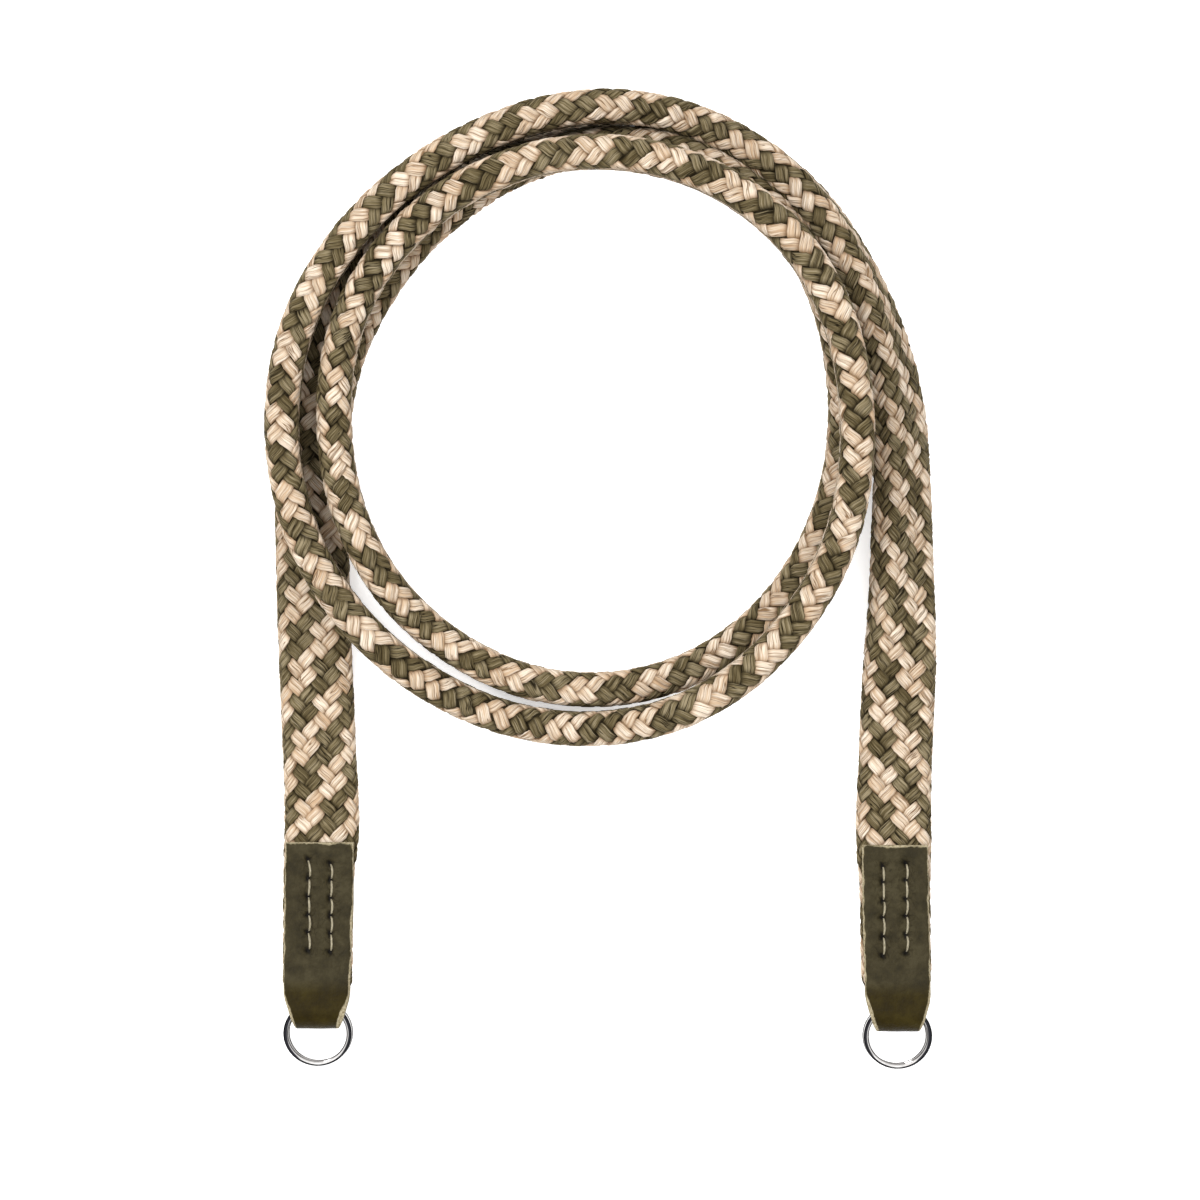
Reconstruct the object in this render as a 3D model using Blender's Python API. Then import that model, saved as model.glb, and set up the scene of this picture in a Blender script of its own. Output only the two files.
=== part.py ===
"""Camera neck strap: a flat braided strap with a leather eye and a split ring at each end.

The strap lies on a floor at z = 0. Its left tail runs straight up from the left eye, turns into a
loop of two and a half rounds standing on its edge, and comes back down as the right tail.
All tables are in millimetres and degrees.
"""

import math

import bmesh
import bpy
import numpy as np

MM = 0.001

# Braided strap: rounded rectangle, wide side first
STRAP_WIDTH = 15.2
STRAP_THICKNESS = 7.0
STRAP_CORNER = 2.5
CORNER_POINTS = 4
STATION_STEP = 5.5

# Centre of the loop on the floor
LOOP_X = -3.4
LOOP_Y = 33.9

# Left tail, from its end inside the leather to the start of the loop.
# Lift is the gap between the floor and the lowest side of the strap; roll is 0 for a strap lying
# flat and 90 for a strap standing on its edge.
# columns: y, x, lift, roll, width, thickness
LEFT_TAIL = [
    (-85.0, -58.9, 1.40, 0.0, 14.4, 5.6),
    (-72.8, -58.7, 1.40, 0.0, 14.4, 5.6),
    (-61.3, -58.6, 1.40, 0.0, 14.6, 5.6),
    (-53.8, -58.3, 1.40, 0.0, 15.3, 5.6),
    (-46.0, -58.2, 0.20, 0.0, 15.4, 6.8),
    (-39.5, -58.5, 0.05, 0.0, 15.2, 7.0),
    (-28.1, -59.0, 0.05, 0.0, 15.2, 7.0),
    (-15.6, -59.5, 0.05, 0.0, 15.2, 7.0),
    (-4.2, -59.9, 0.05, 0.0, 15.2, 7.0),
    (7.2, -60.2, 0.05, 0.0, 15.2, 7.0),
]

# The loop, clockwise seen from above.
# columns: turn angle from +X, radius from the loop's centre, lift, roll
LOOP = [
    (190, 57.7, 0.02, 0),
    (170, 55.4, 0.02, 0),
    (150, 54.2, 0.02, 0),
    (135, 54.5, 0.1, 3),
    (122, 55.1, 0.1, 20),
    (110, 55.7, 0.1, 45),
    (100, 56.0, 0.1, 62),
    (88, 56.7, 0.1, 80),
    (74, 57.6, 0.1, 90),
    (60, 57.7, 0.1, 90),
    (45, 56.8, 0.1, 90),
    (28, 55.3, 0.1, 90),
    (10, 54.4, 0.1, 90),
    (-10, 54.1, 0.1, 90),
    (-30, 54.8, 0.1, 90),
    (-50, 56.0, 0.1, 90),
    (-70, 56.8, 0.1, 90),
    (-90, 56.7, 0.1, 90),
    (-105, 56.1, 0.1, 90),
    (-118, 55.2, 0.3, 90),
    (-132, 54.4, 2.6, 90),
    (-148, 53.4, 7.2, 90),
    (-160, 52.7, 7.6, 90),
    (-180, 52.0, 7.6, 90),
    (-200, 52.8, 7.7, 90),
    (-218, 53.1, 8.2, 90),
    (-234, 53.3, 11.2, 90),
    (-248, 53.5, 14.8, 90),
    (-262, 53.8, 15.8, 90),
    (-280, 54.2, 15.9, 90),
    (-300, 54.7, 15.9, 90),
    (-320, 55.2, 15.9, 90),
    (-340, 55.7, 15.9, 90),
    (-360, 56.2, 15.9, 90),
    (-375, 57.4, 15.8, 90),
    (-390, 59.2, 15.7, 90),
    (-405, 61.0, 15.2, 90),
    (-418, 62.8, 14.0, 90),
    (-430, 64.1, 12.0, 90),
    (-442, 64.7, 6.2, 90),
    (-455, 64.8, 1.0, 90),
    (-466, 64.6, 0.1, 90),
    (-478, 64.2, 2.2, 90),
    (-492, 63.9, 6.9, 90),
    (-505, 63.7, 7.7, 90),
    (-520, 63.4, 7.7, 90),
    (-540, 62.8, 7.7, 90),
    (-560, 62.3, 7.7, 90),
    (-580, 61.4, 7.8, 90),
    (-600, 61.4, 8.1, 90),
    (-614, 62.3, 8.4, 90),
    (-628, 63.8, 7.2, 90),
    (-640, 64.8, 3.7, 90),
    (-652, 65.3, 0.6, 90),
    (-664, 65.3, 0.1, 88),
    (-678, 64.8, 0.1, 85),
    (-692, 64.0, 0.1, 80),
    (-706, 64.0, 0.1, 71),
    (-720, 65.1, 0.1, 61),
]

# Right tail, from the loop to its end inside the leather.
# columns: y, x, lift, roll, width, thickness
RIGHT_TAIL = [
    (20.3, 62.4, 0.10, 56.0, 15.2, 7.0),
    (9.3, 62.4, 0.10, 50.0, 15.2, 7.0),
    (-2.1, 62.4, 0.10, 42.0, 15.2, 7.0),
    (-13.5, 62.2, 0.10, 25.0, 15.2, 7.0),
    (-26.0, 61.6, 0.05, 4.0, 15.2, 7.0),
    (-38.5, 61.1, 0.05, 0.0, 15.2, 7.0),
    (-46.3, 60.8, 0.20, 0.0, 15.4, 6.8),
    (-54.1, 60.8, 1.40, 0.0, 15.6, 5.6),
    (-61.7, 61.0, 1.40, 0.0, 14.8, 5.6),
    (-73.2, 61.2, 1.40, 0.0, 14.5, 5.6),
    (-85.5, 61.4, 1.40, 0.0, 14.4, 5.6),
]

# Leather eye: one strip folded round the ring, a panel above and a panel below the strap
LEATHER_THICKNESS = 1.1
FOLD_RADIUS = 4.2
LEATHER_BEVEL = 0.3
FOLD_STEPS = 12
HINGE_FROM_END = 3.4
# columns: distance from the folded end, half width, sideways drift of the strip's middle
EYE_OUTLINE = [
    (0.0, 4.15, 0.0),
    (7.2, 6.85, 0.0),
    (12.0, 7.00, 0.2),
    (26.0, 6.95, 0.5),
    (38.9, 6.75, 0.7),
]
# columns: y of the folded end, x of its middle, side the drift goes to
EYES = {
    "left": (-93.4, -59.1, 1.0),
    "right": (-94.0, 61.7, -1.0),
}

# Split ring: flat wire wound twice
RING_OUTER_RADIUS = 7.1
WIRE_RADIAL = 1.1
WIRE_AXIAL = 0.6
WIRE_CHAMFER = 0.12
WINDING_RISE = 0.72
HINGE_TO_CENTRE = 4.5
RING_TILT = 17.5
RING_STEP = 9.0
RING_TURN = 690.0
RAMP_START = 340.0
RAMP_END = 360.0
WIRE_START = 125.0


def clear_scene():
    for obj in list(bpy.data.objects):
        bpy.data.objects.remove(obj, do_unlink=True)


def material(name, colour, roughness, metallic=0.0):
    mat = bpy.data.materials.new(name)
    mat.use_nodes = True
    shader = mat.node_tree.nodes["Principled BSDF"]
    shader.inputs["Base Color"].default_value = (*colour, 1.0)
    shader.inputs["Roughness"].default_value = roughness
    shader.inputs["Metallic"].default_value = metallic
    return mat


def tube_object(name, rings, mat, origin=(0.0, 0.0, 0.0), smooth=True):
    """Closed body from a row of equal sections (stations x points x 3, in millimetres)."""
    stations, points, _ = rings.shape
    mesh = bpy.data.meshes.new(name)
    body = bmesh.new()
    verts = [body.verts.new(p) for p in (rings.reshape(-1, 3) - np.array(origin)) * MM]
    for i in range(stations - 1):
        for j in range(points):
            k = (j + 1) % points
            a = i * points
            b = a + points
            body.faces.new([verts[a + j], verts[a + k], verts[b + k], verts[b + j]])
    body.faces.new(verts[:points][::-1])
    body.faces.new(verts[-points:])
    bmesh.ops.recalc_face_normals(body, faces=body.faces)
    for face in body.faces:
        face.smooth = smooth and len(face.verts) == 4
    body.to_mesh(mesh)
    body.free()
    obj = bpy.data.objects.new(name, mesh)
    obj.location = [v * MM for v in origin]
    obj.data.materials.append(mat)
    bpy.context.scene.collection.objects.link(obj)
    return obj


def half_height(width, thickness, roll):
    """Half the height of the rolled section above the floor."""
    lean = np.radians(roll)
    across = (width / 2 - STRAP_CORNER) * np.abs(np.sin(lean))
    through = (thickness / 2 - STRAP_CORNER) * np.abs(np.cos(lean))
    return across + through + STRAP_CORNER


def route_rows():
    """One row per section: x, y, z, roll, width, thickness."""
    rows = []
    for y, x, lift, roll, width, thick in LEFT_TAIL:
        rows.append((x, y, lift + half_height(width, thick, roll), roll, width, thick))
    for turn, radius, lift, roll in LOOP:
        a = math.radians(turn)
        x = LOOP_X + radius * math.cos(a)
        y = LOOP_Y + radius * math.sin(a)
        z = lift + half_height(STRAP_WIDTH, STRAP_THICKNESS, roll)
        rows.append((x, y, z, roll, STRAP_WIDTH, STRAP_THICKNESS))
    for y, x, lift, roll, width, thick in RIGHT_TAIL:
        rows.append((x, y, lift + half_height(width, thick, roll), roll, width, thick))
    return np.array(rows, float)


def smooth_rows(rows, step):
    """Natural cubic spline through the rows, sampled about every step millimetres."""
    gaps = np.linalg.norm(np.diff(rows[:, :3], axis=0), axis=1)
    at = np.concatenate([[0.0], np.cumsum(gaps)])
    count = len(rows)
    system = np.eye(count)
    known = np.zeros_like(rows)
    for i in range(1, count - 1):
        system[i, i - 1] = gaps[i - 1]
        system[i, i] = 2 * (gaps[i - 1] + gaps[i])
        system[i, i + 1] = gaps[i]
        slope_out = (rows[i + 1] - rows[i]) / gaps[i]
        slope_in = (rows[i] - rows[i - 1]) / gaps[i - 1]
        known[i] = 6 * (slope_out - slope_in)
    bend = np.linalg.solve(system, known)
    places = np.linspace(0.0, at[-1], int(round(at[-1] / step)) + 1)
    k = np.clip(np.searchsorted(at, places, side="right") - 1, 0, count - 2)
    gap = gaps[k][:, None]
    before = (at[k + 1][:, None] - places[:, None]) / gap
    after = 1 - before
    curve = before * rows[k] + after * rows[k + 1]
    curve += ((before**3 - before) * bend[k] + (after**3 - after) * bend[k + 1]) * gap**2 / 6
    return curve


def section_axes(curve):
    """Direction of the strap's width and of its outward face at every station."""
    along = np.gradient(curve[:, :3], axis=0)
    along /= np.linalg.norm(along, axis=1)[:, None]
    side = np.cross(along, [0.0, 0.0, 1.0])
    side /= np.linalg.norm(side, axis=1)[:, None]
    above = np.cross(side, along)
    lean = np.radians(curve[:, 3])[:, None]
    wide = np.cos(lean) * side + np.sin(lean) * above
    face = np.cos(lean) * above - np.sin(lean) * side
    return wide, face


def strap_sections(curve):
    wide, face = section_axes(curve)
    rings = []
    for centre, w, n in zip(curve, wide, face):
        ring = []
        for corner, (sx, sy) in enumerate([(1, 1), (-1, 1), (-1, -1), (1, -1)]):
            for j in range(CORNER_POINTS):
                a = math.pi / 2 * (corner + j / (CORNER_POINTS - 1))
                u = sx * (centre[4] / 2 - STRAP_CORNER) + STRAP_CORNER * math.cos(a)
                v = sy * (centre[5] / 2 - STRAP_CORNER) + STRAP_CORNER * math.sin(a)
                ring.append(centre[:3] + u * w + v * n)
        rings.append(ring)
    return np.array(rings)


def eye_sections(end_y, middle_x, drift_side):
    """Sections of the folded leather strip, from the upper panel's mouth round to the lower's."""
    reach, half_width, drift = np.array(EYE_OUTLINE).T
    middle_radius = FOLD_RADIUS - LEATHER_THICKNESS / 2
    straight = [38.9, 32.0, 26.0, 19.0, 12.0, 7.2]
    path = [(d, middle_radius, 0.0, 1.0) for d in straight]
    for i in range(FOLD_STEPS + 1):
        a = math.pi * i / FOLD_STEPS
        d = FOLD_RADIUS - middle_radius * math.sin(a)
        path.append((d, middle_radius * math.cos(a), -math.sin(a), math.cos(a)))
    path += [(d, -middle_radius, 0.0, -1.0) for d in straight[::-1]]
    rings = []
    for d, height, out_y, out_z in path:
        wide = np.interp(d, reach, half_width)
        x = middle_x + drift_side * np.interp(d, reach, drift)
        half = LEATHER_THICKNESS / 2
        flat = [
            (-wide, -half),
            (wide, -half),
            (wide, half - LEATHER_BEVEL),
            (wide - LEATHER_BEVEL, half),
            (-wide + LEATHER_BEVEL, half),
            (-wide, half - LEATHER_BEVEL),
        ]
        ring = []
        for across, out in flat:
            ring.append((x + across, end_y + d + out * out_y, FOLD_RADIUS + height + out * out_z))
        rings.append(ring)
    return np.array(rings)


def ring_sections(hinge):
    """Flat wire wound twice, hanging from the hinge line and leaning down to the floor."""
    tilt = math.radians(RING_TILT)
    away = np.array([0.0, -math.cos(tilt), -math.sin(tilt)])
    normal = np.array([0.0, -math.sin(tilt), math.cos(tilt)])
    across = np.array([1.0, 0.0, 0.0])
    centre = np.array(hinge) + HINGE_TO_CENTRE * away
    middle = RING_OUTER_RADIUS - WIRE_RADIAL / 2
    r = WIRE_RADIAL / 2
    h = WIRE_AXIAL / 2
    c = WIRE_CHAMFER
    outline = [(r, -h + c), (r, h - c), (r - c, h), (-r + c, h)]
    outline += [(-r, h - c), (-r, -h + c), (-r + c, -h), (r - c, -h)]
    rings = []
    for turn in np.linspace(0.0, RING_TURN, int(RING_TURN / RING_STEP) + 1):
        rise = np.interp(turn, [RAMP_START, RAMP_END], [-0.5, 0.5]) * WINDING_RISE
        a = math.radians(turn + WIRE_START)
        radial = math.cos(a) * away + math.sin(a) * across
        rings.append([centre + (middle + u) * radial + (rise + v) * normal for u, v in outline])
    return np.array(rings)


def main():
    clear_scene()
    braid = material("braid", (0.36, 0.30, 0.20), 0.85)
    curve = smooth_rows(route_rows(), STATION_STEP)
    tube_object("braided_strap", strap_sections(curve), braid)
    for side, (end_y, middle_x, drift_side) in EYES.items():
        leather = material("leather_" + side, (0.075, 0.065, 0.035), 0.55)
        steel = material("steel_" + side, (0.75, 0.76, 0.78), 0.18, 1.0)
        eye = eye_sections(end_y, middle_x, drift_side)
        tube_object("leather_tab_" + side, eye, leather, smooth=False)
        hinge = (middle_x, end_y + HINGE_FROM_END, FOLD_RADIUS)
        tube_object("split_ring_" + side, ring_sections(hinge), steel, origin=hinge)


main()
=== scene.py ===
# %% [markdown]
# # A braided camera neck strap, laid in a coil
#
# The frame is the plain solid model: one smooth strap, two folded leather eyes and two split
# rings, each in its real place. This lesson dresses it. Every strand of the braid, the leather
# with its stitches, and the rings are built around those solids, in the same metres.

# %% Load the frame
import math

import bpy
import numpy as np
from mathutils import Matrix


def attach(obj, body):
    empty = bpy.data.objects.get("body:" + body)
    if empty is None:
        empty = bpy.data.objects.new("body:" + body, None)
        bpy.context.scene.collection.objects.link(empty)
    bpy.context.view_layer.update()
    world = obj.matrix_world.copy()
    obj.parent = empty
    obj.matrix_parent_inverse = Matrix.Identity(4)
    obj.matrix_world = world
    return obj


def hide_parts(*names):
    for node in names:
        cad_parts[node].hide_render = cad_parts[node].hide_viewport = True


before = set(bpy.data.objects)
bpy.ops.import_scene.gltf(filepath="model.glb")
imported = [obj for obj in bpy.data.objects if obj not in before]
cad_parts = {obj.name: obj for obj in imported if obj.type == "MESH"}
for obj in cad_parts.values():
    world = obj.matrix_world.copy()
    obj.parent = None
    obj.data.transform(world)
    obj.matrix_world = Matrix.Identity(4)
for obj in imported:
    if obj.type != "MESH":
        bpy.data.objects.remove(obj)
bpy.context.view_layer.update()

MM = 0.001
rng = np.random.default_rng(11)

# %% [markdown]
# ## The strap's route
#
# The strap is one length of braid. It could be drawn as a Bezier curve by hand, but the solids
# were swept along a table of sections, so the same table is used here: where the strap is, how
# high it lies, and how far it is rolled from flat (0) onto its edge (90 degrees). A few radii are
# eased outward by up to 1.1 mm, where the real turns lie closer together than the plain solid's.

# %% Tables of the route, in millimetres and degrees
STRAP_WIDTH = 15.2
STRAP_THICKNESS = 7.0
STRAP_CORNER = 2.5
LOOP_X = -3.4
LOOP_Y = 33.9

# columns: y, x, lift above the floor, roll, width, thickness
LEFT_TAIL = [
    (-85.0, -59.1, 1.40, 0.0, 14.4, 5.6),
    (-72.8, -58.95, 1.40, 0.0, 14.4, 5.6),
    (-61.3, -58.8, 1.40, 0.0, 14.6, 5.6),
    (-53.8, -58.3, 1.40, 0.0, 15.3, 5.6),
    (-46.0, -58.2, 0.20, 0.0, 15.4, 6.8),
    (-39.5, -58.5, 0.05, 0.0, 15.2, 7.0),
    (-28.1, -59.0, 0.05, 0.0, 15.2, 7.0),
    (-15.6, -59.5, 0.05, 0.0, 15.2, 7.0),
    (-4.2, -59.9, 0.05, 0.0, 15.2, 7.0),
    (7.2, -60.2, 0.05, 0.0, 15.2, 7.0),
]

# columns: turn angle, radius from the loop's centre, lift, roll
LOOP = [
    (190, 57.7, 0.02, 0), (170, 55.4, 0.02, 0), (150, 54.2, 0.02, 0), (135, 54.5, 0.1, 3),
    (122, 55.1, 0.1, 20), (110, 55.7, 0.1, 45), (100, 56.0, 0.1, 62), (88, 56.9, 0.1, 80),
    (74, 58.0, 0.1, 90), (60, 58.35, 0.1, 90), (45, 57.75, 0.1, 90), (28, 56.0, 0.1, 90),
    (10, 54.4, 0.1, 90), (-10, 54.1, 0.1, 90), (-30, 54.8, 0.1, 90), (-50, 56.0, 0.1, 90),
    (-70, 56.8, 0.1, 90), (-90, 56.7, 0.1, 90), (-105, 56.1, 0.1, 90), (-118, 55.2, 0.3, 90),
    (-132, 54.4, 2.6, 90), (-148, 53.4, 7.2, 90), (-160, 52.7, 7.6, 90), (-180, 52.0, 7.6, 90),
    (-200, 52.8, 7.7, 90), (-218, 53.1, 8.2, 90), (-234, 53.3, 11.2, 90), (-248, 53.5, 14.8, 90),
    (-262, 54.1, 15.8, 90), (-280, 54.9, 15.9, 90), (-300, 55.8, 15.9, 90),
    (-320, 56.3, 15.9, 90), (-340, 56.1, 15.9, 90), (-360, 56.2, 15.9, 90),
    (-375, 57.4, 15.8, 90), (-390, 59.2, 15.7, 90), (-405, 61.0, 15.2, 90),
    (-418, 62.8, 14.0, 90), (-430, 64.1, 12.0, 90), (-442, 64.7, 6.2, 90), (-455, 64.8, 1.0, 90),
    (-466, 64.6, 0.1, 90), (-478, 64.2, 2.2, 90), (-492, 63.9, 6.9, 90), (-505, 63.7, 7.7, 90),
    (-520, 63.4, 7.7, 90), (-540, 62.8, 7.7, 90), (-560, 62.3, 7.7, 90), (-580, 61.4, 7.8, 90),
    (-600, 61.4, 8.1, 90), (-614, 62.3, 8.4, 90), (-628, 63.8, 7.2, 90), (-640, 64.8, 3.7, 90),
    (-652, 65.3, 0.6, 90), (-664, 65.3, 0.1, 88), (-678, 64.8, 0.1, 85), (-692, 64.0, 0.1, 80),
    (-706, 64.0, 0.1, 71), (-720, 65.1, 0.1, 61),
]

# columns: y, x, lift above the floor, roll, width, thickness
RIGHT_TAIL = [
    (20.3, 62.4, 0.10, 56.0, 15.2, 7.0),
    (9.3, 62.4, 0.10, 50.0, 15.2, 7.0),
    (-2.1, 62.4, 0.10, 42.0, 15.2, 7.0),
    (-13.5, 62.2, 0.10, 25.0, 15.2, 7.0),
    (-26.0, 61.6, 0.05, 4.0, 15.2, 7.0),
    (-38.5, 61.1, 0.05, 0.0, 15.2, 7.0),
    (-46.3, 60.8, 0.20, 0.0, 15.4, 6.8),
    (-54.1, 60.8, 1.40, 0.0, 15.6, 5.6),
    (-61.7, 61.0, 1.40, 0.0, 14.8, 5.6),
    (-73.2, 61.2, 1.40, 0.0, 14.5, 5.6),
    (-85.5, 61.4, 1.40, 0.0, 14.4, 5.6),
]
print("sections:", len(LEFT_TAIL), len(LOOP), len(RIGHT_TAIL))

# %% One smooth curve through all the sections
STATION_STEP = 0.5


def half_height(width, thickness, roll):
    """Height of the section's middle above its lowest point."""
    lean = np.radians(roll)
    across = (width / 2 - STRAP_CORNER) * np.abs(np.sin(lean))
    through = (thickness / 2 - STRAP_CORNER) * np.abs(np.cos(lean))
    return across + through + STRAP_CORNER


def tail_rows(table):
    return [
        (x, y, lift + half_height(width, thick, roll), roll, width, thick)
        for y, x, lift, roll, width, thick in table
    ]


def loop_rows():
    rows = []
    for turn_angle, radius, lift, roll in LOOP:
        a = math.radians(turn_angle)
        x = LOOP_X + radius * math.cos(a)
        y = LOOP_Y + radius * math.sin(a)
        z = lift + half_height(STRAP_WIDTH, STRAP_THICKNESS, roll)
        rows.append((x, y, z, roll, STRAP_WIDTH, STRAP_THICKNESS))
    return rows


def smooth_rows(rows, step):
    """A cubic spline through the rows, free at both ends, measured by the distance between them."""
    gaps = np.linalg.norm(np.diff(rows[:, :3], axis=0), axis=1)
    at = np.concatenate([[0.0], np.cumsum(gaps)])
    count = len(rows)
    system = np.eye(count)
    known = np.zeros_like(rows)
    for i in range(1, count - 1):
        system[i, i - 1] = gaps[i - 1]
        system[i, i] = 2 * (gaps[i - 1] + gaps[i])
        system[i, i + 1] = gaps[i]
        slope_out = (rows[i + 1] - rows[i]) / gaps[i]
        slope_in = (rows[i] - rows[i - 1]) / gaps[i - 1]
        known[i] = 6 * (slope_out - slope_in)
    bend = np.linalg.solve(system, known)
    places = np.linspace(0.0, at[-1], int(round(at[-1] / step)) + 1)
    k = np.clip(np.searchsorted(at, places, side="right") - 1, 0, count - 2)
    gap = gaps[k][:, None]
    before = (at[k + 1][:, None] - places[:, None]) / gap
    after = 1 - before
    smooth = before * rows[k] + after * rows[k + 1]
    smooth += ((before**3 - before) * bend[k] + (after**3 - after) * bend[k + 1]) * gap**2 / 6
    return smooth


route = np.array(tail_rows(LEFT_TAIL) + loop_rows() + tail_rows(RIGHT_TAIL), float)
curve = smooth_rows(route, STATION_STEP)
line = curve[:, :3]
steps = np.linalg.norm(np.diff(line, axis=0), axis=1)
along = np.concatenate([[0.0], np.cumsum(steps)])
strap_length = along[-1]
print("stations:", len(curve), "braid length in mm:", round(strap_length, 1))

# %% Directions of the strap's width and outward face
START_TURN = 240.0


def section_axes():
    forward = np.gradient(line, axis=0)
    forward /= np.linalg.norm(forward, axis=1)[:, None]
    side = np.cross(forward, [0.0, 0.0, 1.0])
    side /= np.linalg.norm(side, axis=1)[:, None]
    above = np.cross(side, forward)
    lean = np.radians(curve[:, 3])[:, None]
    wide = np.cos(lean) * side + np.sin(lean) * above
    face = np.cos(lean) * above - np.sin(lean) * side
    return wide, face


wide_axis, face_axis = section_axes()
turn = np.degrees(np.unwrap(np.arctan2(line[:, 1] - LOOP_Y, line[:, 0] - LOOP_X)))
turn -= 360.0 * round((turn[0] - START_TURN) / 360.0)
print("turn angle runs from", round(turn[0]), "to", round(turn[-1]))

# %% [markdown]
# ## A skin to lay things on
#
# Strands wander round the strap, so they need a place given as (columns round the section,
# millimetres along, height above the skin). A shrinkwrap modifier could press them on, but a
# direct formula is exact and keeps every strand closed: a table of the rounded rectangle is
# looked up for the place round, and the curve for the place along.

# %% The strap's section, measured round from its top edge
COLUMNS = 16
HALF_ROUND = COLUMNS // 2
SECTION_POINTS = 1440


def section_table():
    """Girth, and by distance round: place (u, v) in the section and the outward direction."""
    flat_side = STRAP_THICKNESS / 2 - STRAP_CORNER
    flat_face = STRAP_WIDTH - 2 * STRAP_CORNER
    arc = math.pi / 2 * STRAP_CORNER
    whole = 4 * flat_side + 2 * flat_face + 4 * arc
    rows = []
    for distance in np.linspace(0.0, whole, SECTION_POINTS + 1):
        half, sign = distance, 1.0
        if distance > whole / 2:
            half, sign = whole - distance, -1.0
        if half <= flat_side:
            u, v, out_u, out_v = STRAP_WIDTH / 2, half, 1.0, 0.0
        elif half <= flat_side + arc:
            a = (half - flat_side) / STRAP_CORNER
            out_u, out_v = math.cos(a), math.sin(a)
            u = STRAP_WIDTH / 2 - STRAP_CORNER + STRAP_CORNER * out_u
            v = flat_side + STRAP_CORNER * out_v
        elif half <= flat_side + arc + flat_face:
            u = STRAP_WIDTH / 2 - STRAP_CORNER - (half - flat_side - arc)
            v, out_u, out_v = STRAP_THICKNESS / 2, 0.0, 1.0
        elif half <= flat_side + 2 * arc + flat_face:
            a = (half - flat_side - arc - flat_face) / STRAP_CORNER
            out_u, out_v = -math.sin(a), math.cos(a)
            u = -STRAP_WIDTH / 2 + STRAP_CORNER + STRAP_CORNER * out_u
            v = flat_side + STRAP_CORNER * out_v
        else:
            u, v, out_u, out_v = -STRAP_WIDTH / 2, whole / 2 - half, -1.0, 0.0
        rows.append((u, sign * v, out_u, sign * out_v))
    return whole, np.array(rows).T


girth, section = section_table()
column_width = girth / COLUMNS
section_at = np.linspace(0.0, girth, section.shape[1])
print("girth in mm:", round(girth, 2), "column width:", round(column_width, 3))

# %% Points on the strap's skin
# columns: turn angle, width in mm round the strap of the column beside each edge
EDGE_COLUMN = [
    (245, 2.3), (130, 2.3), (90, 3.0), (-130, 3.0), (-150, 2.7), (-200, 2.8), (-260, 3.3),
    (-300, 3.5), (-480, 3.4), (-560, 3.0), (-640, 2.75), (-697, 2.7), (-715, 1.9), (-745, 1.9),
    (-760, 2.2), (-790, 2.3),
]
edge_turn, edge_width = np.array(EDGE_COLUMN, float).T


def round_in_mm(columns, distance):
    """Columns to millimetres round; the edge columns open out where the strap stands on edge."""
    edge_column = np.interp(-np.interp(distance, along, turn), -edge_turn, edge_width)
    inner_column = (girth / 4 - edge_column) / (HALF_ROUND / 2 - 1)
    place = np.mod(columns, COLUMNS)
    past_edge = np.mod(place, HALF_ROUND)
    from_edge = np.minimum(past_edge, HALF_ROUND - past_edge)
    reach = np.where(
        from_edge < 1, from_edge * edge_column, edge_column + (from_edge - 1) * inner_column
    )
    nearest_edge = np.floor(place / HALF_ROUND + 0.5) * girth / 2
    ahead = np.where(past_edge < HALF_ROUND / 2, 1.0, -1.0)
    return np.mod(nearest_edge + ahead * reach, girth)


def on_skin(columns, distance, height):
    """Points in metres, for arrays of places round, places along and heights (mm)."""
    round_place = round_in_mm(columns, distance)
    u, v, out_u, out_v = (np.interp(round_place, section_at, row) for row in section)
    station = np.interp(distance, along, np.arange(len(along)))
    low = np.clip(station.astype(int), 0, len(along) - 2)
    part = (station - low)[..., None]
    centre, wide, face = (
        rows[low] * (1 - part) + rows[low + 1] * part for rows in (curve, wide_axis, face_axis)
    )
    u = u * centre[..., 4] / STRAP_WIDTH + out_u * height
    v = v * centre[..., 5] / STRAP_THICKNESS + out_v * height
    return (centre[..., :3] + u[..., None] * wide + v[..., None] * face) * MM


print("first point of the skin:", on_skin(np.zeros(1), np.zeros(1), np.zeros(1))[0].round(4))

# %% [markdown]
# ## Rhythm of the braid
#
# Sixteen strands run round one way and sixteen the other. Each goes over two and under two, so
# the outside shows short floats in sixteen columns, leaning one way and the other in turn. The
# pitch is the step from one float to the next in a column. It is a little shorter on the tails
# than in the coil, so the count of floats is read off at a few marks along the strap.

# %% Count of floats along the strap
# columns: turn angle, count of floats reached there, columns wandered towards the inner face
BRAID_MARKS = [
    (236.4, 4, 0.0), (223.5, 12, 0.2), (201.8, 20, 0.2), (172.0, 28, -0.2), (139.0, 36, -0.4),
    (107.0, 44, -0.5), (76.0, 52, -0.5), (46.0, 60, -0.5), (11.0, 68, -0.6), (-21.0, 76, -0.8),
    (-52.0, 84, -0.5), (-83.0, 92, 0.0), (-113.0, 100, 0.0), (-145.0, 108, -0.5),
    (-177.0, 116, -0.5), (-212.0, 124, -0.4), (-247.5, 132, 0.0), (-279.0, 140, 0.1),
    (-311.0, 148, 0.1), (-343.0, 156, 0.0), (-375.5, 164, 0.1), (-405.0, 172, 0.1),
    (-431.0, 180, 0.0), (-459.0, 188, -0.3), (-489.0, 196, -0.2), (-516.0, 204, -0.2),
    (-545.0, 212, 0.2), (-572.0, 220, 0.1), (-600.0, 228, -0.3), (-626.5, 236, -0.3),
    (-652.5, 244, -0.4), (-680.5, 252, -0.6), (-707.0, 260, -0.7), (-733.5, 268, 0.1),
    (-754.8, 276, 0.55), (-769.6, 284, 1.0),
]
# floats counted on past the first and the last mark, and the wander out there
SPARE_FLOATS = 20
START_WANDER = 0.0
END_WANDER = 0.8

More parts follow.
